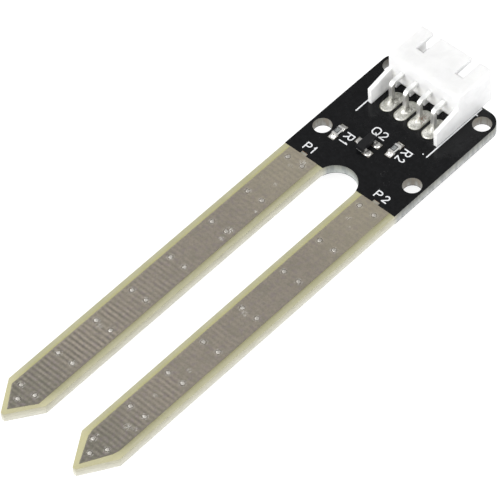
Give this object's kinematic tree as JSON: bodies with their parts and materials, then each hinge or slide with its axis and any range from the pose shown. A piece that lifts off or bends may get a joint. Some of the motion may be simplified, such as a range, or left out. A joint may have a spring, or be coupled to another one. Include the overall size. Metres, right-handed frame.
{
  "type": "soil moisture sensor",
  "caption": "Forked circuit-board soil moisture sensor: two pointed tin-plated probes, a black masked head with mounting holes, chip parts and a white side-entry cable header.",
  "frame": {"origin": "centre of the four mounting holes, on the board's underside (the solder mask face away from the components)", "axes": "+X across the board towards probe 2, +Y along the board towards the header's mouth, +Z out of the component side"},
  "size_m": [0.02, 0.0819, 0.0095],
  "materials": {
    "fr4": "satin, translucent cream glass laminate",
    "solder_mask": "glossy black",
    "copper": "plain copper under the mask",
    "electrode_tin": "tarnished tin plating, satin",
    "via_solder": "bright solder",
    "pad_tin": "tinned",
    "legend_ink": "white epoxy ink",
    "header_nylon": "white moulded nylon, semi-gloss",
    "pin_tin": "tin-plated brass",
    "solder": "bright solder",
    "alumina": "white fired ceramic",
    "resistor_glaze": "dark glazed overcoat",
    "chip_terminal": "tinned end cap",
    "mould_compound": "black epoxy moulding compound",
    "lead_tin": "tin-plated lead frame",
    "silicon": "polished silicon"
  },
  "bodies": {
    "root": {"fr4_laminate": "fr4", "solder_mask_top": "solder_mask", "solder_mask_bottom": "solder_mask", "copper_traces_top": "copper", "copper_traces_bottom": "copper", "electrode_p1_top": "electrode_tin", "electrode_p1_bottom": "electrode_tin", "electrode_p2_top": "electrode_tin", "electrode_p2_bottom": "electrode_tin", "stitching_vias_p1": "via_solder", "stitching_vias_p2": "via_solder", "signal_vias": "copper", "header_plated_holes": "pad_tin", "silkscreen_top": "legend_ink", "header_housing": "header_nylon", "header_pin_1": "pin_tin", "header_pin_2": "pin_tin", "header_pin_3": "pin_tin", "header_pin_4": "pin_tin", "header_solder_joints": "solder", "resistor_r1_body": "alumina", "resistor_r1_overcoat": "resistor_glaze", "resistor_r1_terminals": "chip_terminal", "resistor_r1_solder": "solder", "resistor_r2_body": "alumina", "resistor_r2_overcoat": "resistor_glaze", "resistor_r2_terminals": "chip_terminal", "resistor_r2_solder": "solder", "transistor_body": "mould_compound", "transistor_base_lead": "lead_tin", "transistor_emitter_lead": "lead_tin", "transistor_collector_lead": "lead_tin", "transistor_die": "silicon", "transistor_solder": "solder"}
  },
  "joints": []
}
